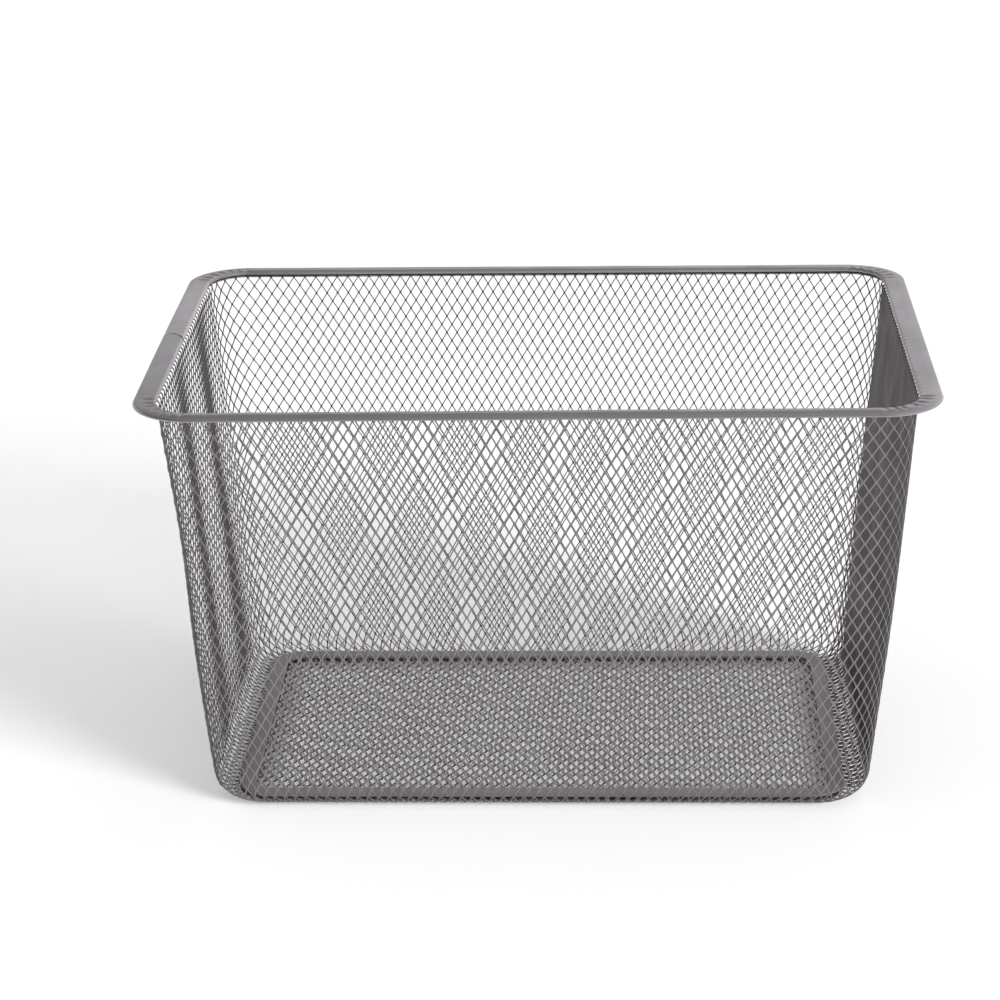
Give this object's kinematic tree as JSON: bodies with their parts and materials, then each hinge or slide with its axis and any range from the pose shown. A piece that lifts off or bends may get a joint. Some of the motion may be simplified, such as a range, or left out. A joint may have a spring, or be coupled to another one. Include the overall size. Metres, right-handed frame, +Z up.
{
  "type": "metal basket",
  "caption": "Deep rectangular basket of expanded-metal mesh with tapering walls, round corners and a wide flat rim that it can hang from.",
  "frame": {"origin": "on the resting plane, under the middle of the basket's overall box", "axes": "+X along the long side, to the right as seen from the front; +Y from the front to the back; +Z up"},
  "size_m": [0.43, 0.3, 0.24],
  "materials": {
    "rim": "silver-grey coated sheet steel, satin",
    "mesh": "silver-grey coated expanded metal, satin with small bright glints",
    "strip": "silver-grey coated strip steel, satin, a little darker than the rim"
  },
  "bodies": {
    "root": {"rim_strip": "rim", "front_mesh": "mesh", "right_mesh": "mesh", "back_mesh": "mesh", "left_mesh": "mesh", "front_right_corner_mesh": "mesh", "back_right_corner_mesh": "mesh", "back_left_corner_mesh": "mesh", "front_left_corner_mesh": "mesh", "floor_mesh": "mesh", "base_joint_strip_upper": "strip", "base_joint_strip_lower": "strip"}
  },
  "joints": []
}
